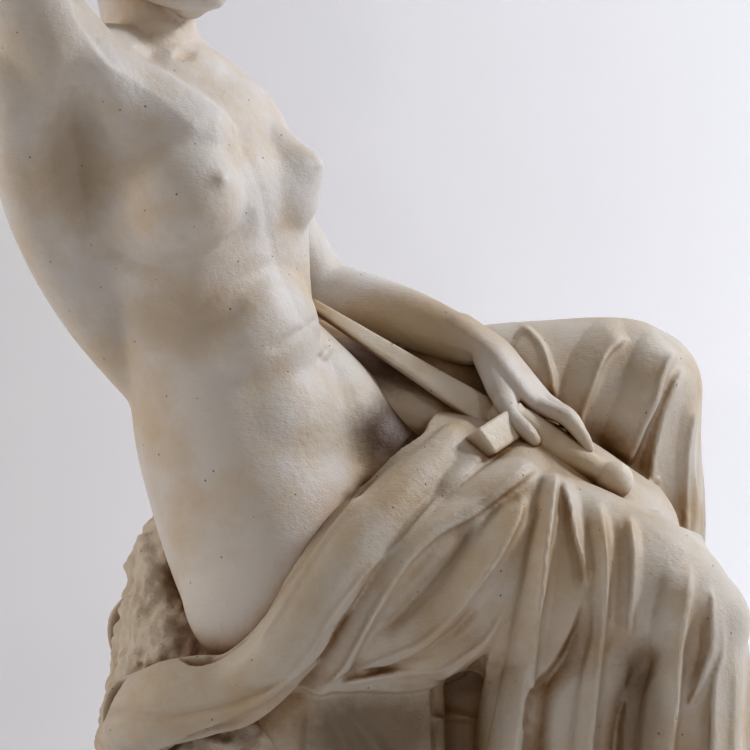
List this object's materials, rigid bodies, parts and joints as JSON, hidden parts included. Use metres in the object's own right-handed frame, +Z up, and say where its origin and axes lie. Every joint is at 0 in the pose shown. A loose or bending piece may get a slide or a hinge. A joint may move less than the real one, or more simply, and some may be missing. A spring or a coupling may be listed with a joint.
{
  "type": "marble statue",
  "caption": "Seated marble woman, bare above the hips, a short sword across her draped lap and one arm raised, on a rough rock and a low base.",
  "frame": {"origin": "middle of the base's flat underside", "axes": "+Z up, +X the way that her knees point, -Y the side that the picture is taken from"},
  "size_m": [1.019, 0.5302, 1.494],
  "materials": {
    "marble": "warm white marble, smoothed by hand on skin and cloth and rough on the rock"
  },
  "bodies": {
    "root": {"statue": "marble"}
  },
  "joints": []
}
